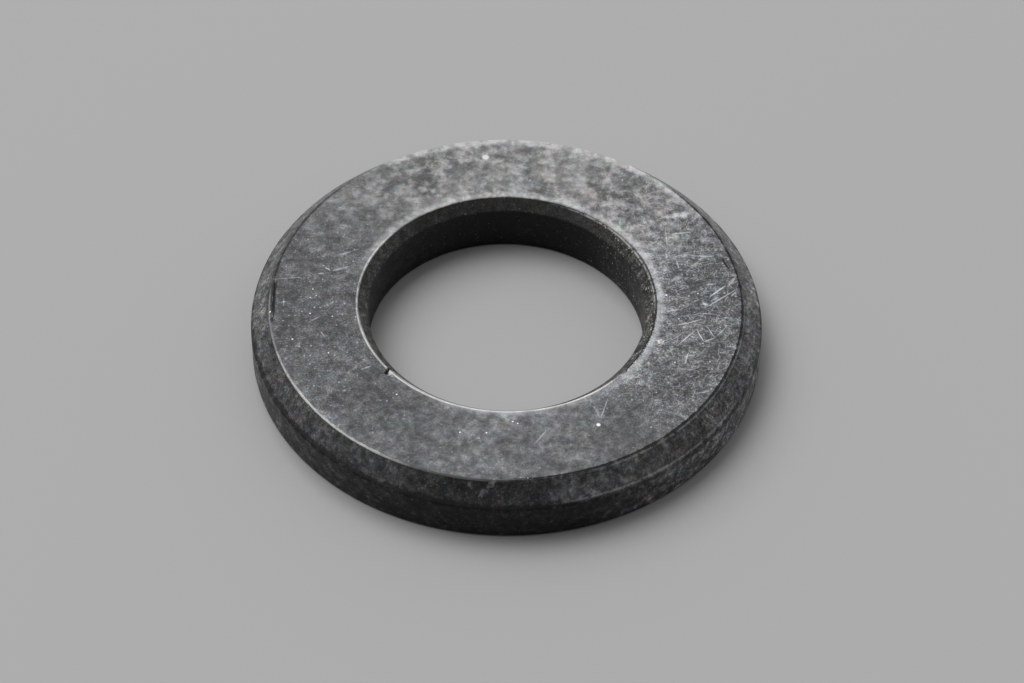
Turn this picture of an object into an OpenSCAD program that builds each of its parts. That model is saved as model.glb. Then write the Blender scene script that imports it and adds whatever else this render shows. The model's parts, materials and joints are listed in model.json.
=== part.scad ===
// Cylinder head bolt washer: a hardened steel ring, turned with a wide chamfer round the
// upper outer edge and a smaller bevel at the mouth of the bore. The bolt's head bears on
// the upper face, the bevel clears the fillet under that head, and the lower face sits on
// the cylinder head. Millimetres, +Z up, origin at the centre of the lower face.

/* [Ring] */
// Outside diameter
outer_d = 24; // [20:0.1:34]
// Diameter of the bore, a clearance hole for the bolt's shank
bore_d = 13; // [8:0.1:16]
// Thickness, from the lower face to the upper face
thickness = 2.8; // [2.2:0.05:6]

/* [Turned edges] */
// Width of the outer chamfer, measured across the upper face
chamfer_w = 0.95; // [0.4:0.05:2]
// Depth of the outer chamfer, measured down the side
chamfer_h = 1; // [0.4:0.05:1.8]
// Width of the bevel at the mouth of the bore
bevel_w = 0.5; // [0.2:0.05:1.2]
// Depth of that bevel
bevel_h = 0.5; // [0.2:0.05:1.5]
// Radius where the upper face meets the chamfer
face_edge_r = 0.08; // [0.02:0.01:0.2]
// Radius where the chamfer meets the side
belly_r = 0.2; // [0.05:0.01:0.4]
// Radius where the bevel meets the wall of the bore
throat_r = 0.1; // [0.02:0.01:0.2]
// Radius round both edges of the lower face
foot_r = 0.15; // [0.05:0.01:0.3]

/* [Nick in the bore's rim] */
// Place of the nick round the ring, from +X towards +Y
nick_angle = 220; // [0:1:359]
// How far the nick's line is turned away from the radius
nick_turn = 32; // [-45:1:45]
// Reach of the nick into the upper face, from the rim
nick_reach = 0.36; // [0.1:0.01:0.6]
// Width of the nick
nick_w = 0.14; // [0.06:0.01:0.3]
// Depth of the nick
nick_depth = 0.16; // [0.05:0.01:0.3]

/* [Scrape along the outer edge] */
// Place of the scrape's middle round the ring
scrape_angle = 181; // [0:1:359]
// How far the scrape's line is turned away from the radius
scrape_turn = 91; // [0:1:180]
// Distance of its middle from the outer edge of the upper face
scrape_inset = 0.18; // [0.05:0.01:0.5]
// Length of the scrape
scrape_length = 3; // [1:0.1:4]
// Width of the scrape at its middle
scrape_w = 0.16; // [0.06:0.01:0.3]
// Depth of the scrape at its middle
scrape_depth = 0.09; // [0.02:0.01:0.12]

/* [Gouge in the upper face] */
// Place of the gouge's middle round the ring
gouge_angle = 14; // [0:1:359]
// How far the gouge's line is turned away from the radius
gouge_turn = 99; // [0:1:180]
// Distance of its middle from the outer edge of the upper face
gouge_inset = 0.35; // [0.1:0.01:1]
// Length of the gouge
gouge_length = 1; // [0.5:0.05:2]
// Width of the gouge at its middle
gouge_w = 0.2; // [0.06:0.01:0.3]
// Depth of the gouge at its middle
gouge_depth = 0.06; // [0.02:0.01:0.12]

/* [Hidden] */
$fn = 180;
bore_r = bore_d / 2;
outer_r = outer_d / 2;
rim = bore_r + bevel_w;            // where the upper face begins
face_edge = outer_r - chamfer_w;   // where the upper face ends

// Turned section, as [radius, height], with the radius that rounds each corner;
// the rim between the upper face and the bevel is left sharp
CORNERS = [
    [[bore_r, 0], foot_r],
    [[outer_r, 0], foot_r],
    [[outer_r, thickness - chamfer_h], belly_r],
    [[face_edge, thickness], face_edge_r],
    [[rim, thickness], 0],
    [[bore_r, thickness - bevel_h], throat_r],
];

// Vector of length one
function unit(v) = v / norm(v);

// The sliver that rounding takes off a corner at the origin, between its two edges' directions
module corner_sliver(to_before, to_after, radius) {
    inward = unit(to_before + to_after);
    half_angle = acos(to_before * to_after) / 2;
    reach = radius / tan(half_angle);
    centre = inward * radius / sin(half_angle);
    difference() {
        polygon([-inward * radius, to_after * reach, centre, to_before * reach]);
        translate(centre) circle(r = radius);
    }
}

// Half of the ring's cross-section, its corners rounded
module section() {
    points = [for (c = CORNERS) c[0]];
    count = len(points);
    difference() {
        polygon(points);
        for (i = [0 : count - 1]) {
            before = points[(i + count - 1) % count];
            after = points[(i + 1) % count];
            if (CORNERS[i][1] > 0)
                translate(points[i])
                    corner_sliver(unit(before - points[i]), unit(after - points[i]), CORNERS[i][1]);
        }
    }
}

// Places a mark on the upper face: its middle, and how far its line is turned from the radius
module on_face(angle, radius, turn) {
    rotate(angle) translate([radius, 0, thickness]) rotate(turn) children();
}

// A blunt slot that opens into the bore and ends round in the upper face
module nick() {
    on_face(nick_angle, rim, nick_turn)
        translate([0, 0, -nick_depth])
            linear_extrude(2 * nick_depth) {
                translate([-bevel_w, -nick_w / 2]) square([bevel_w + nick_reach - nick_w / 2, nick_w]);
                translate([nick_reach - nick_w / 2, 0]) circle(d = nick_w);
            }
}

// A groove that is pointed at both ends, cut by a sharp-rimmed disc that stands on the face
module groove(length, width, depth) {
    disc_r = (length * length / 4 + depth * depth) / (2 * depth);
    translate([0, 0, disc_r - depth])
        rotate([90, 0, 0])
            for (side = [0, 1])
                mirror([0, 0, side]) cylinder(h = width, r1 = disc_r, r2 = disc_r - 2 * depth);
}

// The ring, with the marks it has picked up in use
module washer() {
    color("#6a6c6f")
        difference() {
            rotate_extrude() section();
            nick();
            on_face(scrape_angle, face_edge - scrape_inset, scrape_turn)
                groove(scrape_length, scrape_w, scrape_depth);
            on_face(gouge_angle, face_edge - gouge_inset, gouge_turn)
                groove(gouge_length, gouge_w, gouge_depth);
        }
}

washer();
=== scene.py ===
"""Looks of a used cylinder head bolt washer: worn dark steel, lying on a plain pale floor.

Lengths are millimetres while a shape is worked out and metres in every mesh. +X points right in the
picture, +Y away from the camera, +Z up. Angles round the ring are in degrees, from +X towards +Y.
"""
import json
import math

import bpy
import numpy as np
from mathutils import Matrix, Vector


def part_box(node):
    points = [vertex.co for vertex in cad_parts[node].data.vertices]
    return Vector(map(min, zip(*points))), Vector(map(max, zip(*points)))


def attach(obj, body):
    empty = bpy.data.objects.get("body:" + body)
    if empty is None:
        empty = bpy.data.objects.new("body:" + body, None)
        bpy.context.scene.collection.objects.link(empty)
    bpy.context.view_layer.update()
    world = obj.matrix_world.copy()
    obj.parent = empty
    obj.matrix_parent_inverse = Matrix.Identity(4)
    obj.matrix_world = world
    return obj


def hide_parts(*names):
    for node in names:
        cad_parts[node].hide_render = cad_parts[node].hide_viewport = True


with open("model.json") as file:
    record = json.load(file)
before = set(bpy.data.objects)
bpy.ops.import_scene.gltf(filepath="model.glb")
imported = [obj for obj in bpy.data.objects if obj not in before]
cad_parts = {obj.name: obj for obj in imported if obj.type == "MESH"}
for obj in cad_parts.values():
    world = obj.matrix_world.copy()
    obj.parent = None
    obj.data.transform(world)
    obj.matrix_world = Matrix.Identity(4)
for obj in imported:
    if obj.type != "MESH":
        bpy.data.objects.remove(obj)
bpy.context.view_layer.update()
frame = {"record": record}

# Sizes
MM = 0.001
_, node_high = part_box("washer")
bore_mount = next(m for m in frame["record"]["mounts"] if m["name"] == "bore")
OUTER_R = node_high.x / MM
THICKNESS = node_high.z / MM
BORE_R = bore_mount["dims"]["r_mm"]
CHAMFER_W, CHAMFER_H = 0.95, 1.0
BEVEL_W, BEVEL_H = 0.5, 0.5
FACE_EDGE_R, BELLY_R, RIM_R, THROAT_R, FOOT_R = 0.08, 0.2, 0.05, 0.1, 0.15
RIM = BORE_R + BEVEL_W
FACE_EDGE = OUTER_R - CHAMFER_W
BELLY_Z = THICKNESS - CHAMFER_H
THROAT_Z = THICKNESS - BEVEL_H

# Marks on the upper face
NICK = {"angle": 220, "turn": 32, "reach": 0.36, "width": 0.14, "depth": 0.16}
SCRAPE = {"angle": 181, "turn": 91, "inset": 0.18, "length": 3, "width": 0.16, "depth": 0.09}
GOUGE = {"angle": 14, "turn": 99, "inset": 0.35, "length": 1, "width": 0.2, "depth": 0.06}
BURR = {"angle": -32.4, "width": 0.12, "height": 0.05}
LIP_LINE = {"inset": 0.03, "width": 0.1, "depth": 0.03}
# Where the lip line runs and where it is missing: from, to and fade, in degrees
LIP_SPAN, LIP_GAP = (-75, 165, 20), (55, 122, 18)
# Half-width of the nick's sloping walls, length of its sloping end, and the height over the face
# that its floor is given where there is no nick
NICK_WALL, NICK_END, NICK_ABOVE = 0.02, 0.05, 0.2
# How far edges wander, how far about them that spreads, and where the rim is ragged
UNEVEN_EDGE, UNEVEN_BELLY, UNEVEN_RIM, RAGGED_RIM = 0.012, 0.006, 0.014, 0.022
EDGE_SPREAD, BELLY_SPREAD, RIM_SPREAD = 0.1, 0.25, 0.08
RAGGED_SPAN = (-50, -14, 8)

# Fineness of the mesh: the step round the ring, and the least gap left for the last one, in degrees
RING_STEP, LAST_GAP = 0.6, 0.2
# Bands of the upper face with finer rows, measured from its outer edge and from the rim
LINE_BAND, MARK_BAND, RIM_BAND = 0.3, 0.7, 0.4
# Map for baked textures: share of the hole taken by the underside, and the map's width in outer radii
UNDERSIDE_SHARE, MAP_WIDTH = 0.9, 2.02

# Finish, with the levels of the painted light and shade
DIRT_AND_SHADE_LEVEL, SCRATCH_LEVEL, BARE_AND_LIT_LEVEL, DUST_LEVEL = 0.008, 0.6, 0.7, 0.85
SPECULAR, BUMP_STRENGTH, BUMP_HEIGHT = 0.22, 0.6, 0.02

# Floor, key light and sky, in metres, degrees and watts
FLOOR_SIZE, FLOOR_GREY = 8, 0.37
KEY_LIGHT = {"angle": 137, "elevation": 57, "distance": 2.0, "size": 1.7, "power": 40}
SKY_NEAR, SKY_FAR = 0.02, 0.84

# Camera, as fitted to the photograph of 1024 by 683 pixels
PHOTO_WIDTH_PX = 1024
FOCAL_PX = 2946
SENSOR_MM = 36
CAMERA_ELEVATION = math.radians(46.6)
CAMERA_ROLL = math.radians(0.88)
CAMERA_DISTANCE = 139.84
CAMERA_RIGHT = 0.274


# Mesh

def arc(centre, radius, start, end, steps):
    """Points on an arc of the section, from the start angle to the end angle."""
    angles = np.radians(np.linspace(start, end, steps + 1))
    return [(centre[0] + radius * math.cos(a), centre[1] + radius * math.sin(a)) for a in angles]


def rounded(before, corner, after, radius, steps):
    """The arc that rounds one corner of the section, between its two neighbours."""
    p, a, b = np.array(corner), np.array(before), np.array(after)
    u, v = (a - p) / np.linalg.norm(a - p), (b - p) / np.linalg.norm(b - p)
    half = math.acos(float(u @ v)) / 2
    inward = (u + v) / np.linalg.norm(u + v)
    centre = p + inward * radius / math.sin(half)
    first = p + u * radius / math.tan(half) - centre
    last = p + v * radius / math.tan(half) - centre
    start = math.degrees(math.atan2(first[1], first[0]))
    sweep = (math.degrees(math.atan2(last[1], last[0])) - start + 180) % 360 - 180
    return arc(centre, radius, start, start + sweep, steps)


def spaced(start, end, steps):
    """Points between two ends of a straight stretch, without the ends."""
    return [tuple(np.array(start) + (np.array(end) - np.array(start)) * t)
            for t in np.linspace(0, 1, steps + 1)[1:-1]]


def section():
    """The ring's cross-section as a closed loop of [radius, height], finer where marks and edges are."""
    # each corner's place, its rounding radius and the steps on its arc
    corners = [
        ((BORE_R, 0), FOOT_R, 4),
        ((OUTER_R, 0), FOOT_R, 5),
        ((OUTER_R, BELLY_Z), BELLY_R, 7),
        ((FACE_EDGE, THICKNESS), FACE_EDGE_R, 6),
        ((RIM, THICKNESS), RIM_R, 4),
        ((BORE_R, THROAT_Z), THROAT_R, 4),
    ]
    count = len(corners)
    arcs = [rounded(corners[i - 1][0], corners[i][0], corners[(i + 1) % count][0], *corners[i][1:])
            for i in range(count)]
    face_line = (FACE_EDGE - LINE_BAND, THICKNESS)
    face_outer = (FACE_EDGE - MARK_BAND, THICKNESS)
    face_inner = (RIM + RIM_BAND, THICKNESS)
    face = spaced(arcs[3][-1], face_line, 14) + [face_line]
    face += spaced(face_line, face_outer, 10) + [face_outer]
    face += spaced(face_outer, face_inner, 10) + [face_inner]
    face += spaced(face_inner, arcs[4][0], 13)
    # underside, side, chamfer, upper face, bevel and bore
    stretches = [
        spaced(arcs[0][-1], arcs[1][0], 6),
        spaced(arcs[1][-1], arcs[2][0], 7),
        spaced(arcs[2][-1], arcs[3][0], 10),
        face,
        spaced(arcs[4][-1], arcs[5][0], 8),
        spaced(arcs[5][-1], arcs[0][0], 6),
    ]
    return np.array([p for a, s in zip(arcs, stretches) for p in a + s])


def apart(angles, middle):
    """How far angles are from a middle one, either way round."""
    return (np.asarray(angles) - middle + 180) % 360 - 180


def ring_angles():
    """Angles round the ring: even steps, with finer ones across the marks."""
    # middle, reach either way and step
    fine = [
        (NICK["angle"], 3, 0.16),
        (BURR["angle"], 2, 0.16),
        (BURR["angle"], 22, 0.25),
        (GOUGE["angle"], 3.5, 0.25),
        (SCRAPE["angle"], 8.5, 0.35),
    ]
    angles, at = [], 0.0
    while at < 360 - LAST_GAP:
        angles.append(at)
        steps = [s for middle, reach, s in fine if abs(apart(at, middle)) < reach]
        at += min(steps, default=RING_STEP)
    return np.array(angles)


def smooth(low, high, x):
    """A soft step from nought at the first value to one at the second."""
    t = np.clip((x - low) / (high - low), 0, 1)
    return t * t * (3 - 2 * t)


def wobble(angles, seed, lowest, highest):
    """Smooth uneven waves round the ring, about -1 to 1, with the given numbers of waves."""
    random = np.random.default_rng(seed)
    waves = np.unique(np.round(np.geomspace(lowest, highest, 14)))
    phases = random.uniform(0, 2 * np.pi, len(waves))
    total = sum(np.cos(k * np.radians(angles) + p) for k, p in zip(waves, phases))
    return total / math.sqrt(2 * len(waves))


def between(angles, start, end, fade):
    """One where angles lie between two others, fading to nought outside."""
    middle, half = (start + end) / 2, (end - start) / 2
    return smooth(half + fade, half, np.abs(apart(angles, middle)))


def mark_axes(mark, radius):
    """Middle of a mark on the upper face, and the unit vectors along and across it."""
    a = math.radians(mark["angle"])
    d = math.radians(mark["angle"] + mark["turn"])
    return (np.array([radius * math.cos(a), radius * math.sin(a)]),
            np.array([math.cos(d), math.sin(d)]), np.array([-math.sin(d), math.cos(d)]))


def mark_place(x, y, mark, radius):
    """Where points lie along and across a mark, from its middle."""
    middle, along, across = mark_axes(mark, radius)
    return ((x - middle[0]) * along[0] + (y - middle[1]) * along[1],
            (x - middle[0]) * across[0] + (y - middle[1]) * across[1])


def groove_depth(x, y, mark):
    """Depth of a groove that is pointed at both ends."""
    s, t = mark_place(x, y, mark, FACE_EDGE - mark["inset"])
    along, across = s / (mark["length"] / 2), np.abs(t) / (mark["width"] / 2)
    return mark["depth"] * np.clip(1 - along * along - across, 0, 1)


def nick_floor(x, y):
    """Height the nick cuts the rim of the bore down to, far above the face where there is no nick."""
    s, t = mark_place(x, y, NICK, RIM)
    inside = smooth(NICK["width"] / 2 + NICK_WALL, NICK["width"] / 2 - NICK_WALL, np.abs(t))
    reach = smooth(NICK["reach"], NICK["reach"] - NICK_END, s) * smooth(-0.7, -0.6, s)
    return THICKNESS + NICK_ABOVE - (NICK_ABOVE + NICK["depth"]) * inside * reach


def lip_depth(radius, degrees):
    """Depth of the fine line that runs just inside the outer edge of the face."""
    line = np.clip(1 - np.abs(radius - FACE_EDGE + LIP_LINE["inset"]) / (LIP_LINE["width"] / 2), 0, 1)
    strength = between(degrees, *LIP_SPAN) * (1 - between(degrees, *LIP_GAP))
    strength = strength * (0.8 + 0.3 * wobble(degrees, 5, 3, 60))
    return LIP_LINE["depth"] * line * np.clip(strength, 0, 1.2)


def add_bake_map(mesh, points, degrees):
    """Lays the ring out flat for baked textures: unrolled, with the underside in the middle."""
    under = points[:, 1] < 1e-6
    first = np.flatnonzero(under)[-1]
    rolled = np.roll(points, -first, 0)
    walked = np.concatenate([[0], np.cumsum(np.linalg.norm(np.diff(rolled, axis=0), axis=1))])
    on_face = np.argmax(rolled[:, 1])
    unrolled = np.roll(rolled[on_face, 0] + walked[on_face] - walked, first)
    nested = points[:, 0] * UNDERSIDE_SHARE * unrolled[~under].min() / OUTER_R
    row = (np.arange(len(points))[:, None, None] + np.array([0, 0, 1, 1])) % len(points)
    column = (np.arange(len(degrees))[None, :, None] + np.array([0, 1, 1, 0])) % len(degrees)
    below = (under & np.roll(under, -1))[:, None, None]
    reach = np.where(below, nested[row], unrolled[row]) / (MAP_WIDTH * unrolled.max())
    angle = np.radians(degrees[column])
    places = 0.5 + np.stack([reach * np.cos(angle), reach * np.sin(angle)], -1)
    mesh.uv_layers.new(name="OFBake").data.foreach_set("uv", places.ravel())


def close_to(radius, z, place, spread):
    """One at a place of the section, falling off to nought about it."""
    return np.exp(-((radius - place[0]) ** 2 + (z - place[1]) ** 2) / spread ** 2)


def uneven_edges(radius, z, degrees):
    """The ring's radii, with uneven edges: the outer edge of the face, the belly and the bore's rim."""
    edge = close_to(radius, z, (FACE_EDGE, THICKNESS), EDGE_SPREAD)
    belly = close_to(radius, z, (OUTER_R, BELLY_Z), BELLY_SPREAD)
    rim = close_to(radius, z, (RIM, THICKNESS), RIM_SPREAD)
    radius = radius + UNEVEN_EDGE * edge * wobble(degrees, 1, 6, 150)
    radius = radius - UNEVEN_BELLY * belly * (1 + wobble(degrees, 2, 4, 60))
    radius = radius + UNEVEN_RIM * rim * wobble(degrees, 3, 8, 240)
    radius = radius + RAGGED_RIM * rim * wobble(degrees, 4, 90, 420) * between(degrees, *RAGGED_SPAN)
    burr = np.exp(-(np.radians(apart(degrees, BURR["angle"])) * RIM / BURR["width"] * 2) ** 2)
    return radius - BURR["height"] * rim * burr


def build_ring():
    """The washer's mesh: the section swept round the axis, with its marks pressed in."""
    points, degrees = section(), ring_angles()
    rows, columns = len(points), len(degrees)
    radius = np.repeat(points[:, 0][:, None], columns, 1)
    z = np.repeat(points[:, 1][:, None], columns, 1)

    radius = uneven_edges(radius, z, degrees)
    x, y = radius * np.cos(np.radians(degrees)), radius * np.sin(np.radians(degrees))
    upper = smooth(THICKNESS - 0.3, THICKNESS - 0.12, z)
    z = z - upper * (groove_depth(x, y, SCRAPE) + groove_depth(x, y, GOUGE) + lip_depth(radius, degrees))
    z = np.where(z > THICKNESS - 0.4, np.minimum(z, nick_floor(x, y)), z)

    verts = np.stack([x, y, z], -1).reshape(-1, 3) * MM
    index = np.arange(rows * columns).reshape(rows, columns)
    below, beside = np.roll(index, -1, 0), np.roll(index, -1, 1)
    corner = np.roll(below, -1, 1)
    faces = np.stack([index, beside, corner, below], -1).reshape(-1, 4)
    mesh = bpy.data.meshes.new("washer_ring")
    mesh.from_pydata(verts.tolist(), [], faces.tolist())
    mesh.shade_smooth()
    mesh.validate()
    add_bake_map(mesh, points, degrees)
    ring = bpy.data.objects.new("washer_ring", mesh)
    bpy.context.scene.collection.objects.link(ring)
    return ring


# Shader arithmetic

class Field:
    """A number or vector that varies over the surface, worked out by shader nodes."""

    def __init__(self, tree, socket):
        self.tree, self.socket = tree, socket

    def node(self, kind, *values, **settings):
        """A new node with the given settings and inputs, each a field, a number or a vector."""
        made = self.tree.nodes.new(kind)
        for name, value in settings.items():
            setattr(made, name, value)
        for place, value in enumerate(values):
            if isinstance(value, Field):
                self.tree.links.new(value.socket, made.inputs[place])
            elif value is not None:
                made.inputs[place].default_value = value
        return made

    def out(self, made, name=0):
        return Field(self.tree, made.outputs[name])

    def math(self, operation, *values):
        return self.out(self.node("ShaderNodeMath", self, *values, operation=operation))

    def vector(self, operation, *values, out=0):
        return self.out(self.node("ShaderNodeVectorMath", self, *values, operation=operation), out)

    def __add__(self, other):
        return self.math("ADD", other)

    def __sub__(self, other):
        return self.math("SUBTRACT", other)

    def __mul__(self, other):
        return self.math("MULTIPLY", other)

    def __rsub__(self, other):
        return self.math("MULTIPLY_ADD", -1.0, other)

    __radd__, __rmul__ = __add__, __mul__

    def most(self, other):
        return self.math("MAXIMUM", other)

    def capped(self):
        return self.math("MINIMUM", 1.0).math("MAXIMUM", 0.0)

    def exponential(self):
        return self.math("EXPONENT")

    def ramp(self, low, high, start=0.0, end=1.0):
        """A soft step: start up to the low value, end from the high one on."""
        if low > high:
            low, high, start, end = high, low, end, start
        made = self.node("ShaderNodeMapRange", self, low, high, start, end, interpolation_type="SMOOTHSTEP")
        return self.out(made)

    def towards(self, other, share):
        """This number, moved by a share of the way to another one."""
        return self + (other - self) * share

    def noise(self, scale, detail, roughness, seed):
        """Cloudy noise about nought; the scale is in patches per millimetre."""
        moved = self.vector("ADD", (17.3 * seed, 9.1 * seed, 5.7 * seed))
        made = self.node("ShaderNodeTexNoise", moved)
        made.inputs["Scale"].default_value = scale
        made.inputs["Detail"].default_value = detail
        made.inputs["Roughness"].default_value = roughness
        return self.out(made, 0) - 0.5

    def cells(self, scale, seed, dimensions="2D"):
        """Random cells, so many per millimetre: the way from the nearest one's middle, three chances."""
        moved = self.vector("ADD", (17.3 * seed, 9.1 * seed, 0.0))
        made = self.node("ShaderNodeTexVoronoi", moved, voronoi_dimensions=dimensions)
        made.inputs["Scale"].default_value = scale
        from_middle = moved.vector("SUBTRACT", self.out(made, "Position"))
        chances = self.node("ShaderNodeSeparateColor", self.out(made, "Color"))
        return from_middle, [self.out(chances, i) for i in range(3)]

    def parts(self):
        split = self.node("ShaderNodeSeparateXYZ", self)
        return [self.out(split, i) for i in range(3)]

    def scaled(self, share):
        """This vector or colour, times a number."""
        return self.out(self.node("ShaderNodeVectorMath", self, None, None, share, operation="SCALE"))

    def mix(self, other, share):
        """This colour with a share of another one."""
        made = self.node("ShaderNodeMix", data_type="RGBA", clamp_factor=True)
        for place, value in ((0, share), (6, self), (7, other)):
            if isinstance(value, Field):
                self.tree.links.new(value.socket, made.inputs[place])
            else:
                made.inputs[place].default_value = value
        return self.out(made, 2)


def stroke(flat, start, end, width, strength):
    """A single scratch along the line between two places on the face, tapered at its ends."""
    a, b = np.array([*start, 0.0]), np.array([*end, 0.0])
    along = b - a
    from_start = flat.vector("SUBTRACT", tuple(a))
    share = from_start.vector("DOT_PRODUCT", tuple(along / (along @ along)), out="Value").capped()
    line = flat.out(flat.node("ShaderNodeVectorMath", tuple(along), None, None, share, operation="SCALE"))
    away = from_start.vector("DISTANCE", line, out="Value")
    taper = (share - 0.5).math("POWER", 2.0) * (1.6 * width)
    return (away + taper).ramp(width * 0.8, width * 0.2, 0.0, strength)


def speck(flat, place, radius):
    """A single round spot."""
    away = flat.vector("DISTANCE", (*place, 0.0), out="Value")
    return away.ramp(radius, radius * 0.5)


def dots(field, scale, smallest, largest, rarity, seed, dimensions="2D"):
    """Scattered round dots of uneven size and brightness; a higher rarity leaves fewer bright ones."""
    from_middle, chance = field.cells(scale, seed, dimensions)
    away = from_middle.vector("LENGTH", out="Value") - chance[1] * (largest - smallest)
    return away.ramp(smallest, smallest * 0.3) * chance[0].math("POWER", rarity)


def short_scratches(flat, scale, angle, spread, width, share, seed):
    """Scattered straight scratches, one to a random cell, turned about a preferred angle."""
    from_middle, chance = flat.cells(scale, seed)
    turn = (chance[0] - 0.5) * math.radians(2 * spread) + math.radians(angle)
    x, y, _ = from_middle.parts()
    cosine, sine = turn.math("COSINE"), turn.math("SINE")
    along = (x * cosine + y * sine).math("ABSOLUTE")
    across = (y * cosine - x * sine).math("ABSOLUTE")
    length = 0.5 / scale
    there = chance[1].ramp(share, share * 0.5)
    return across.ramp(width, width * 0.2) * along.ramp(length, length * 0.3) * there


# Material of the ring

# Scratches seen on the upper face: start, end, width and strength
SCRATCHES = [
    # right
    ((8.82, -1.68), (9.14, -2.47), 0.05, 1.0),
    ((9.14, -2.47), (9.65, -2.22), 0.05, 1.0),
    ((9.65, -2.22), (9.30, -1.45), 0.045, 0.8),
    ((9.65, -2.22), (10.22, -1.48), 0.045, 0.6),
    ((7.90, -2.75), (8.82, -1.68), 0.045, 0.9),
    ((7.73, -2.35), (8.17, -1.93), 0.045, 0.6),
    ((9.51, 0.45), (10.27, 1.17), 0.07, 1.0),
    ((9.32, -0.25), (10.81, 0.98), 0.05, 0.8),
    ((9.52, 0.15), (9.89, 0.41), 0.07, 0.6),
    ((8.60, -0.78), (9.00, -0.65), 0.045, 0.5),
    ((8.99, -0.65), (9.81, -0.69), 0.045, 0.8),
    ((7.95, -1.42), (8.55, -1.25), 0.09, 0.7),
    ((8.40, -1.30), (9.10, -1.02), 0.05, 0.7),
    ((7.39, -0.54), (8.14, -0.42), 0.05, 0.5),
    ((9.38, 1.25), (9.88, 1.29), 0.08, 0.6),
    ((7.96, 0.75), (8.36, 1.03), 0.045, 0.6),
    ((8.00, 2.85), (8.12, 2.30), 0.06, 0.7),
    ((8.62, 2.46), (9.58, 2.79), 0.04, 0.45),
    ((8.22, -3.93), (8.41, -3.11), 0.05, 0.7),
    ((10.38, 1.13), (10.79, 1.74), 0.05, 0.5),
    ((10.51, 0.48), (10.80, 0.87), 0.05, 0.5),
    # far right
    ((7.78, 4.59), (8.77, 4.74), 0.09, 0.5),
    ((7.54, 4.98), (7.60, 3.67), 0.08, 0.4),
    ((8.72, 3.16), (9.71, 3.10), 0.09, 0.5),
    # front
    ((8.66, -5.70), (9.26, -5.59), 0.045, 0.6),
    ((7.63, -4.20), (8.68, -4.23), 0.05, 0.5),
    ((4.34, -7.28), (4.66, -6.11), 0.06, 0.5),
    ((1.37, -8.89), (1.88, -8.10), 0.09, 0.4),
    ((-6.65, -4.55), (-6.15, -4.32), 0.05, 0.6),
    # left
    ((-8.25, 1.76), (-7.43, 2.10), 0.1, 0.5),
    ((-7.98, 2.83), (-7.10, 3.24), 0.09, 0.35),
    ((-8.90, 1.58), (-8.62, 1.58), 0.09, 0.55),
    ((-8.60, 1.98), (-8.40, 1.86), 0.08, 0.6),
    ((-10.83, 1.17), (-9.70, 1.32), 0.05, 0.4),
    ((-10.42, -0.05), (-10.40, -0.56), 0.05, 0.4),
    ((-10.56, -0.34), (-10.24, -0.29), 0.06, 0.35),
    ((-9.17, -1.61), (-8.60, -1.15), 0.05, 0.45),
    ((-8.61, -2.18), (-8.38, -2.50), 0.06, 0.5),
]
# Wide, patchy smears on the upper face and the chamfer: start, end, width and strength
SMEARS = [
    ((5.68, 4.85), (6.11, 5.13), 0.3, 0.5),
    ((6.11, 5.13), (7.20, 5.52), 0.34, 0.5),
    ((7.30, 5.55), (7.95, 5.78), 0.4, 0.5),
    ((7.85, 5.74), (8.75, 6.02), 0.5, 0.6),
    ((6.95, 4.40), (7.60, 4.45), 0.24, 0.5),
    ((6.95, 4.02), (7.60, 4.10), 0.45, 0.6),
    ((7.80, 4.38), (8.15, 4.42), 0.4, 0.6),
    ((7.85, 1.75), (8.20, 1.40), 0.45, 0.4),
    ((9.02, -0.17), (9.40, -0.05), 0.22, 1.0),
    ((3.90, -6.22), (4.34, -7.28), 0.16, 0.35),
    # on the chamfer
    ((-0.33, -11.08), (-1.12, -11.60), 0.17, 1.0),
    ((-1.43, -11.15), (-1.49, -11.22), 0.24, 1.0),
    ((-1.50, -11.50), (-1.75, -11.50), 0.16, 0.6),
]
# Dark strokes on the upper face and the chamfer, those along the scrape painted shade in its groove: start,
# end, width and strength
DARK_STROKES = [
    ((10.00, 1.88), (10.32, 1.72), 0.25, 0.4),
    ((-1.90, -11.30), (-0.40, -11.45), 0.5, 0.5),
    ((-10.93, 1.16), (-10.94, 0.10), 0.24, 1.0),
    ((-10.97, 0.20), (-10.95, -1.12), 0.16, 0.85),
    ((-10.88, -1.28), (-10.84, -1.62), 0.2, 0.9),
]
# Fine dark lines in the gouge: start, end, width and strength
GOUGE_LINES = [
    ((10.17, 3.05), (10.53, 2.20), 0.13, 1.0),
    ((10.33, 2.98), (10.63, 2.28), 0.11, 0.75),
]
# Grains of dust: place, radius and strength
DUST = [
    ((4.22, -7.71), 0.12, 1.0),
    ((-1.16, 9.77), 0.22, 0.6),
    ((0.36, -7.6), 0.05, 1.0),
    ((0.59, -7.7), 0.045, 1.0),
    ((-0.81, -8.29), 0.05, 1.0),
    ((-2.0, -8.29), 0.05, 1.0),
    ((-10.41, -0.31), 0.035, 1.0),
    ((-9.1, 0.55), 0.04, 1.0),
    ((-9.19, 0.0), 0.04, 1.0),
    ((-8.92, 0.13), 0.035, 1.0),
    ((-9.14, -1.04), 0.045, 1.0),
    ((-8.1, -1.2), 0.04, 1.0),
    ((-9.86, -2.7), 0.055, 1.0),
    ((-8.15, -3.53), 0.045, 1.0),
    ((-4.92, -6.05), 0.05, 1.0),
    ((7.48, 0.51), 0.06, 1.0),
    ((8.96, 0.64), 0.045, 1.0),
    ((8.02, -1.02), 0.04, 1.0),
]


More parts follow.
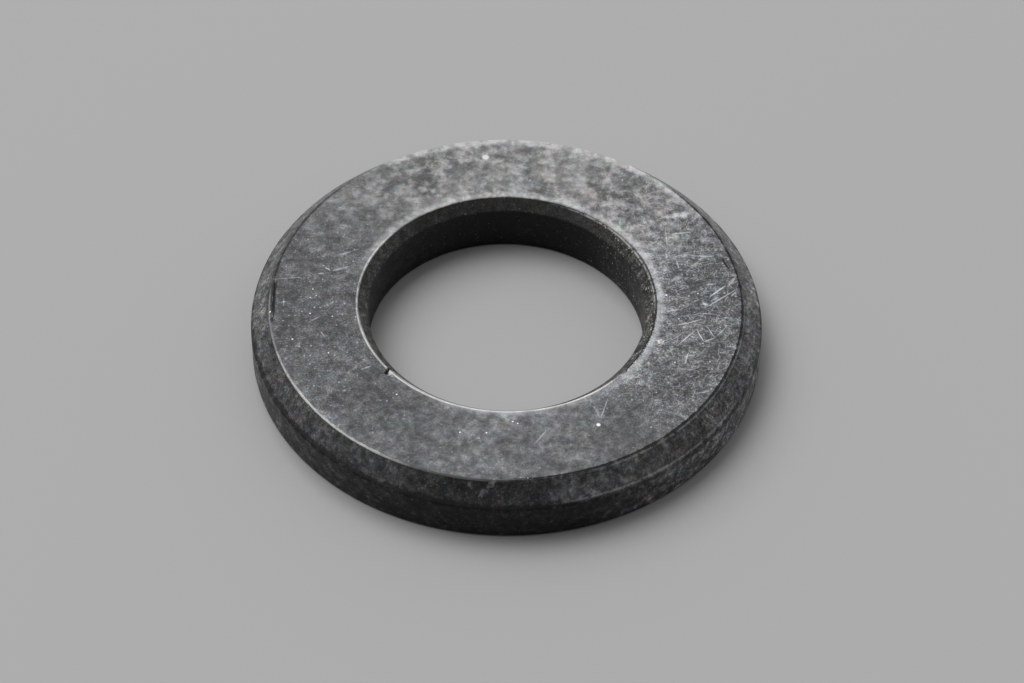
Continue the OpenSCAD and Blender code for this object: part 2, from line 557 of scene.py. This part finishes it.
class Surface:
    """Where a point of the ring is, in millimetres, and the noises that all parts of the material share."""

    def __init__(self, tree):
        where = Field(tree, tree.nodes.new("ShaderNodeTexCoord").outputs["Object"])
        self.place = where.vector("MULTIPLY", (1 / MM, 1 / MM, 1 / MM))
        self.flat = self.place.vector("MULTIPLY", (1, 1, 0))
        self.around = self.flat.vector("NORMALIZE")
        self.radius = self.flat.vector("LENGTH", out="Value")
        self.z = self.place.parts()[2]
        self.on_section = where.out(where.node("ShaderNodeCombineXYZ", self.radius, self.z))

        # noises, from broad to fine
        self.broad = self.place.noise(0.4, 3, 0.55, 1)
        self.cloud = self.place.noise(1.1, 4, 0.6, 2)
        self.patch = self.place.noise(1.3, 5, 0.62, 6)
        self.mottle = self.place.noise(3.0, 4, 0.65, 3)
        self.grain = self.place.noise(10.0, 3, 0.8, 4)

        # quarters of the ring, each worn in its own way
        self.far = self.facing(90, 12, 82)
        self.right = self.facing(8, 28, 65)
        self.left = self.facing(195, 30, 80)
        self.front = self.facing(283, 22, 55)
        self.high_belly = self.facing(240, 45, 60)

        # parts of the ring
        crumbled = (0.35 * self.grain - 0.02) * self.near(RIM, THICKNESS, 0.05, 0.12)
        crumbled = crumbled * self.facing(330, 14, 30)
        self.face = (self.z + crumbled).ramp(THICKNESS - 0.03, THICKNESS - 0.008)
        self.foot = self.z.ramp(0.03, 0.008)
        self.outside = self.radius.ramp(FACE_EDGE - 0.02, FACE_EDGE + 0.03)
        self.inside = self.radius.ramp(RIM + 0.02, RIM - 0.03)
        self.side = self.outside * (self.z - 0.1 * self.high_belly).ramp(BELLY_Z + 0.05, BELLY_Z - 0.15)
        self.bore = self.inside * self.z.ramp(THROAT_Z + 0.05, THROAT_Z - 0.1)

        # how strong the noises are round the ring, and places on the face moved by them
        self.crisp = 1.0 - 0.55 * self.far - 0.1 * self.front + 0.3 * self.right
        self.fine = 1.0 - 0.9 * self.facing(90, 25, 85) - 0.6 * self.facing(268, 20, 55) + 0.3 * self.right
        shift = where.out(where.node("ShaderNodeCombineXYZ", 0.5 * self.mottle, 0.5 * self.grain))
        self.rough = self.flat.vector("ADD", shift)

    def facing(self, angle, full, end):
        """One within an angle of a direction round the ring, fading to nought at a wider angle."""
        way = (math.cos(math.radians(angle)), math.sin(math.radians(angle)), 0.0)
        aligned = self.around.vector("DOT_PRODUCT", way, out="Value")
        return aligned.ramp(math.cos(math.radians(end)), math.cos(math.radians(full)))

    def near(self, radius, height, full, end, uneven=0.0):
        """One near a point of the section, all round the ring, with an edge that may be uneven."""
        away = self.on_section.vector("DISTANCE", (radius, height, 0), out="Value")
        return (away + uneven).ramp(end, full)


def nick_slot(s):
    """One in the nick, along its whole length from the bevel to its end in the face."""
    middle, along, _ = mark_axes(NICK, RIM)
    start = middle - along * BEVEL_W
    end = middle + along * (NICK["reach"] - NICK["width"] / 2)
    return stroke(s.flat, start, end, NICK["width"], 1.0)


def scratches(s):
    """Fine scratches: scattered ones, most of them on the right, and those seen one by one."""
    fibre = short_scratches(s.flat, 3.2, 40, 90, 0.03, 1.0, 1)
    fibre = fibre.most(short_scratches(s.flat, 1.8, 35, 60, 0.028, 0.8, 2))
    long = short_scratches(s.flat, 0.7, 38, 25, 0.03, 0.7, 3)
    scratch = (fibre * (0.08 + 0.3 * s.right)).most(long * (0.1 + 0.3 * s.right))
    for mark in SCRATCHES:
        scratch = scratch.most(stroke(s.flat, *mark))
    patchy = (0.7 + 5.0 * s.mottle + 2.0 * s.cloud).capped()
    for mark in SMEARS:
        scratch = scratch.most(stroke(s.rough, *mark) * patchy)
    return (scratch * (0.9 + 2.5 * s.mottle)).capped()


def dust_grains(s):
    """Grains of dust on the upper face."""
    dust = dots(s.flat, 0.9, 0.02, 0.05, 14, 7)
    for place, radius, strength in DUST:
        dust = dust.most(speck(s.flat, place, radius) * strength)
    return dust * s.face


def face_base(s):
    """How light the upper face is on the whole: lighter in front and towards the bore, and far off partly a
    painted sheen.
    """
    # the far terms stand partly for a painted sheen
    base = 0.068 + 0.028 * s.front + 0.014 * s.right + 0.05 * s.far + 0.022 * s.facing(86, 5, 32)
    base = base + s.radius.ramp(8.8, 7.2) * (0.024 + 0.024 * s.right + 0.012 * s.front)
    return base + 0.03 * s.radius.ramp(FACE_EDGE - 0.5, FACE_EDGE - 0.05) * s.facing(219, 12, 28)


def rubbed_share(s):
    """How much of the coat is rubbed off the upper face: in patches, and in bands along its edges."""
    patches = (s.patch + 0.4 * s.mottle).ramp(-0.1, 0.2) * (0.62 * s.facing(82, 14, 76) + 0.04)
    rim_right = s.radius.ramp(RIM + 0.5, RIM + 0.2) * s.facing(5, 35, 60) * 0.68
    rim_far = s.radius.ramp(RIM + 0.5, RIM + 0.1) * s.facing(95, 45, 80) * 0.6
    rim_front = s.radius.ramp(RIM + 0.4, RIM + 0.05) * s.facing(278, 25, 42) * 0.35
    edge_far = s.radius.ramp(FACE_EDGE - 0.5, FACE_EDGE - 0.15) * s.facing(78, 30, 52) * 0.8
    bands = rim_right.most(rim_far).most(rim_front).most(edge_far)
    return (patches + bands * (0.95 + 1.0 * s.patch + 0.7 * s.mottle)).capped()


def face_level(s, scratch):
    """How light each point of the upper face is: dark grey, with bright flecks and rubbed patches."""
    tone = s.grain * s.fine * 5.4 + s.mottle * s.crisp * 3.4
    tone = tone + s.cloud * (2.0 + 0.5 * s.left + 0.8 * s.far) + s.broad * 1.4
    level = face_base(s) * tone.exponential()
    level = level.towards((0.43 + 0.5 * s.mottle + 0.5 * s.grain * s.fine).most(0.1), rubbed_share(s))
    level = level * (1.0 - 0.3 * s.near(RIM, THICKNESS, 0.02, 0.1) * s.facing(95, 45, 65))
    fleck = dots(s.flat, 3.6, 0.022, 0.06, 4, 8) * s.fine
    return level.towards(SCRATCH_LEVEL, scratch.most(fleck * 0.6))


def chamfer_base(s):
    """How light the chamfer is round the ring, as painted light and shade, with painted shade close under
    the face.
    """
    # painted light and shade round the ring: lighter on the right, the far left and the front right, darker
    # in front
    base = 0.05 + 0.086 * s.facing(31, 9, 52) + 0.038 * s.facing(155, 18, 42) + 0.02 * s.facing(336, 6, 18)
    base = base + 0.03 * s.facing(297, 6, 20) - 0.022 * s.facing(264, 6, 20)
    # painted shade on the chamfer just under the face's outer edge
    painted_shade = 0.15 + 0.35 * s.facing(5, 30, 48).most(s.facing(158, 14, 30))
    return base * (1.0 - painted_shade * s.near(FACE_EDGE + 0.03, THICKNESS - 0.03, 0.04, 0.38))


def side_base(s):
    """Painted light and shade on the side round the ring: lighter on the left and the front right, darker
    in front.
    """
    base = 0.028 + 0.012 * s.facing(190, 15, 35)
    return base - 0.015 * s.facing(268, 14, 34) + 0.085 * s.facing(340, 18, 50)


def bore_base(s):
    """Painted light on the bevel round the ring, and painted shade down in the bore, least on the right."""
    # painted light: the bevel lighter on the left and the front right
    bevel = 0.03 + 0.016 * s.facing(200, 40, 75) + 0.015 * s.facing(332, 20, 40)
    # painted shade down in the bore, deepest far off and least on the right
    return bevel * (1.0 - s.bore * (0.5 + 0.25 * s.facing(80, 15, 45) - 0.2 * s.facing(20, 15, 35)))


def coat_level(s, scratch):
    """How light the dark coat is on the chamfer, the side, the bevel and the bore, with their painted light
    and shade.
    """
    base = chamfer_base(s).towards(side_base(s), s.side).towards(bore_base(s), s.inside)
    bore_right = s.inside * s.facing(8, 26, 52)
    calm = (1.0 - 0.5 * s.far) * (1.0 + 0.4 * s.side + 0.5 * bore_right)
    blurred = 1.0 - 0.55 * s.facing(268, 25, 60)
    tone = (s.grain * blurred * 6.0 + s.mottle * 4.4 + s.cloud * 2.0) * calm
    fleck = dots(s.place, 8.0, 0.025, 0.05, 3, 9, "3D") * (1.0 - 0.6 * s.far * s.outside)
    fleck = fleck * (0.9 + 3.0 * s.mottle).capped() * (0.1 + 0.45 * bore_right)
    return tone.exponential() * base + fleck + scratch * 0.15 * (s.outside - s.side)


def dirt_and_painted_shade(s):
    """Dirt and painted shade in the fine line by the outer edge, painted shade in the nick and the marks,
    and darker bands on the rim on the right, in the gouge and at the belly.
    """
    # dirt and painted shade in the fine line just inside the outer edge
    line = s.near(FACE_EDGE - LIP_LINE["inset"], THICKNESS - 0.01, 0.02, 0.09, 0.12 * s.mottle)
    line = line * (1.0 - s.facing(226, 40, 52)) * (1.0 - s.facing(90, 32, 56))
    line = line * (1.0 - 0.8 * s.facing(108, 8, 40)) * (1.0 - 0.25 * s.facing(160, 20, 40))
    rim = s.near(RIM - 0.015, THICKNESS - 0.02, 0.035, 0.08, 0.15 * s.grain) * s.facing(352, 16, 62)
    # painted shade in the marks pressed into the face
    painted_shade_in_marks = (1.0 - s.face) * s.z.ramp(THICKNESS - 0.5, THICKNESS - 0.3)
    painted_shade_in_marks = painted_shade_in_marks * s.radius.ramp(RIM + 0.06, RIM + 0.1)
    painted_shade_in_marks = painted_shade_in_marks * s.radius.ramp(FACE_EDGE - 0.12, FACE_EDGE - 0.15)
    ragged = (0.65 + 2.5 * s.mottle + 2.5 * s.grain).capped()
    painted_shade_in_marks = painted_shade_in_marks * ragged * (1.0 - 0.5 * s.facing(GOUGE["angle"], 5, 9))
    # painted shade in the nick, along its whole slot
    dirt_and_shade = line.most(rim).most(painted_shade_in_marks).most(nick_slot(s) * 0.55)
    # dark strokes; along the scrape they are painted shade in its groove
    for mark in DARK_STROKES:
        dirt_and_shade = dirt_and_shade.most(stroke(s.rough, *mark) * (ragged + 0.3).capped())
    for mark in GOUGE_LINES:
        dirt_and_shade = dirt_and_shade.most(stroke(s.flat, *mark))
    # a darker band along the belly
    low = s.near(OUTER_R - 0.02, BELLY_Z - 0.03, 0.06, 0.22, 0.4 * s.mottle)
    high = s.near(OUTER_R - 0.08, BELLY_Z + 0.07, 0.06, 0.22, 0.4 * s.mottle)
    belly = low.towards(high, s.high_belly) * (0.75 - 0.4 * s.facing(325, 20, 40))
    return (dirt_and_shade * 0.95).most(belly)


def wear_and_painted_light(s):
    """Bare metal along the edges, broken and uneven, with painted light: a brightened bevel in front and
    one glint.
    """
    uneven = 0.1 * s.mottle + 0.1 * s.grain
    beaded = (0.75 + 2.5 * s.cloud + 4.0 * s.mottle + 4.0 * s.grain).capped()
    crest = s.near(FACE_EDGE + 0.042, THICKNESS - 0.045, 0.024, 0.068, uneven)
    edge = crest * s.facing(220, 10, 35).most(0.22 * s.facing(184, 5, 9))
    edge = edge * (1.0 - 0.2 * s.facing(202, 6, 14))
    edge = edge * (0.95 + 1.8 * s.cloud + 2.2 * s.mottle + 1.5 * s.grain).capped()
    lip = s.near(FACE_EDGE + 0.07, THICKNESS - 0.075, 0.01, 0.06, uneven) * s.facing(325, 20, 40) * 0.25
    rim = s.near(RIM - 0.025, THICKNESS - 0.03, 0.045, 0.115, uneven) * s.facing(254, 50, 70)
    rim_left = s.near(RIM + 0.005, THICKNESS - 0.005, 0.02, 0.08, uneven) * s.facing(175, 25, 40) * 0.65
    rim = rim.most(rim_left) * (0.95 + 1.5 * s.cloud + 2.0 * s.mottle + 1.5 * s.grain)
    rim = rim * (1.0 - 0.22 * s.facing(272, 25, 50)) * (1.0 - 0.22 * s.facing(203, 12, 24))
    # painted light: the bevel in front brightened where it would show a dark line
    front = s.near(RIM - 0.13, THICKNESS - 0.13, 0.1, 0.28, uneven) * s.facing(256, 18, 38) * 0.9
    second = s.near(RIM - 0.065, THICKNESS - 0.065, 0.02, 0.075, uneven) * s.facing(33, 20, 42) * 0.55
    belly = s.near(OUTER_R - 0.12, BELLY_Z + 0.13, 0.02, 0.08, uneven) * s.facing(308, 18, 30) * 0.2
    burr = speck(s.rough, (-5.2, -4.68), 0.26)
    # a painted glint: one bright speck on the edge beside the scrape
    glint = speck(s.flat, (-11.02, -0.97), 0.06)
    edges = edge.most(crest * s.facing(254, 8, 20) * 0.15).most(lip.most(second).most(belly) * beaded)
    edges = edges.most(rim.capped()).most(front).most(burr * 0.5).most(glint)
    return edges * (1.0 - nick_slot(s))


def tint(s):
    """A neutral grey that wanders between cool, greenish and brownish; olive inside the bore."""
    warm = s.place.noise(1.4, 3, 0.6, 10) + 0.9 * s.place.noise(4.5, 3, 0.6, 12)
    cool = s.place.noise(1.4, 3, 0.6, 11) + 0.9 * s.place.noise(4.5, 3, 0.6, 13)
    strength = 0.3 + 0.2 * s.outside
    cold = (1.0 - s.far) * (1.0 - 0.7 * s.outside) * (1.0 - s.inside)
    red = 0.998 - 0.022 * cold + strength * warm
    blue = 1.0 + 0.055 * cold + strength * cool - 0.06 * s.inside
    return red.out(red.node("ShaderNodeCombineXYZ", red, 1.0, blue))


def grey(level, warm=0.0):
    """A grey of the given level, a little warm, or cool when negative."""
    return (level * (1 + warm), level, level * (1 - warm), 1)


def make_steel():
    """The material of the ring: dark coated steel with its wear, dirt and dust, and painted light and
    shade.
    """
    material = bpy.data.materials.new("dark_steel")
    material.use_nodes = True
    tree = material.node_tree
    shader = tree.nodes["Principled BSDF"]
    s = Surface(tree)
    scratch, dust, dirt_and_shade, bare_and_lit = scratches(s), dust_grains(s), dirt_and_painted_shade(s), wear_and_painted_light(s)

    level = coat_level(s, scratch).towards(face_level(s, scratch), s.face.most(s.foot))
    # dirt and painted shade darken the colour
    level = level.towards(DIRT_AND_SHADE_LEVEL, dirt_and_shade)
    colour = tint(s).scaled(level)
    # bare metal and painted light brighten the colour
    colour = colour.mix(grey(BARE_AND_LIT_LEVEL, 0.012), bare_and_lit)
    colour = colour.mix(grey(DUST_LEVEL, 0.01), dust)
    roughness = 0.5 + 0.6 * s.grain + 0.3 * dirt_and_shade - 0.12 * bare_and_lit - 0.08 * scratch
    height = s.grain * 0.5 + s.mottle * 0.5
    bump = s.z.node("ShaderNodeBump")
    bump.inputs["Strength"].default_value = BUMP_STRENGTH
    bump.inputs["Distance"].default_value = BUMP_HEIGHT * MM
    tree.links.new(height.socket, bump.inputs["Height"])
    tree.links.new(colour.socket, shader.inputs["Base Color"])
    tree.links.new(roughness.socket, shader.inputs["Roughness"])
    tree.links.new((bare_and_lit * 0.5).socket, shader.inputs["Metallic"])
    tree.links.new(bump.outputs[0], shader.inputs["Normal"])
    shader.inputs["Specular IOR Level"].default_value = SPECULAR
    return material


ring = build_ring()
ring.data.materials.append(make_steel())
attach(ring, "root")
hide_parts("washer")


# Floor, light and camera

def make_floor():
    """A plain pale floor under the washer."""
    bpy.ops.mesh.primitive_plane_add(size=FLOOR_SIZE, location=(0, 0, 0))
    floor = bpy.context.object
    floor.name = "floor"
    material = bpy.data.materials.new("pale_floor")
    material.use_nodes = True
    shader = material.node_tree.nodes["Principled BSDF"]
    shader.inputs["Base Color"].default_value = grey(FLOOR_GREY)
    shader.inputs["Roughness"].default_value = 0.8
    shader.inputs["Specular IOR Level"].default_value = 0.1
    floor.data.materials.append(material)


def make_light(name, angle, elevation, distance, size, power):
    """A square soft light that faces the washer from the given side."""
    data = bpy.data.lights.new(name, "AREA")
    data.shape = "SQUARE"
    data.size = size
    data.energy = power
    light = bpy.data.objects.new(name, data)
    a, e = math.radians(angle), math.radians(elevation)
    way = Vector((math.cos(a) * math.cos(e), math.sin(a) * math.cos(e), math.sin(e)))
    light.location = way * distance
    light.rotation_mode = "QUATERNION"
    light.rotation_quaternion = (-way).to_track_quat("-Z", "Y")
    bpy.context.scene.collection.objects.link(light)


def make_world():
    """A grey sky, dark on the camera's side and bright on the far side."""
    world = bpy.data.worlds.new("studio")
    bpy.context.scene.world = world
    world.use_nodes = True
    tree = world.node_tree
    background = tree.nodes["Background"]
    where = tree.nodes.new("ShaderNodeTexCoord")
    split = tree.nodes.new("ShaderNodeSeparateXYZ")
    tree.links.new(where.outputs["Generated"], split.inputs[0])
    level = tree.nodes.new("ShaderNodeMapRange")
    level.inputs["From Min"].default_value = -1
    level.inputs["From Max"].default_value = 1
    level.inputs["To Min"].default_value = SKY_NEAR
    level.inputs["To Max"].default_value = SKY_FAR
    tree.links.new(split.outputs["Y"], level.inputs["Value"])
    tree.links.new(level.outputs["Result"], background.inputs["Color"])
    background.inputs["Strength"].default_value = 1


def make_camera():
    """The camera fitted to the photograph, aimed close beside the middle of the lower face."""
    e, roll = CAMERA_ELEVATION, CAMERA_ROLL
    right = Vector((math.cos(roll), math.sin(roll) * math.sin(e), math.sin(roll) * math.cos(e)))
    back = Vector((0, -math.cos(e), math.sin(e)))
    up = back.cross(right)
    data = bpy.data.cameras.new("camera")
    data.sensor_width = SENSOR_MM
    data.lens = FOCAL_PX / PHOTO_WIDTH_PX * SENSOR_MM
    data.clip_start = 0.01
    camera = bpy.data.objects.new("camera", data)
    place = (right * CAMERA_RIGHT + back * CAMERA_DISTANCE) * MM
    camera.matrix_world = Matrix.Translation(place) @ Matrix((right, up, back)).transposed().to_4x4()
    bpy.context.scene.collection.objects.link(camera)
    bpy.context.scene.camera = camera


make_floor()
make_light("key", **KEY_LIGHT)
make_world()
make_camera()
bpy.context.scene.view_settings.view_transform = "Standard"
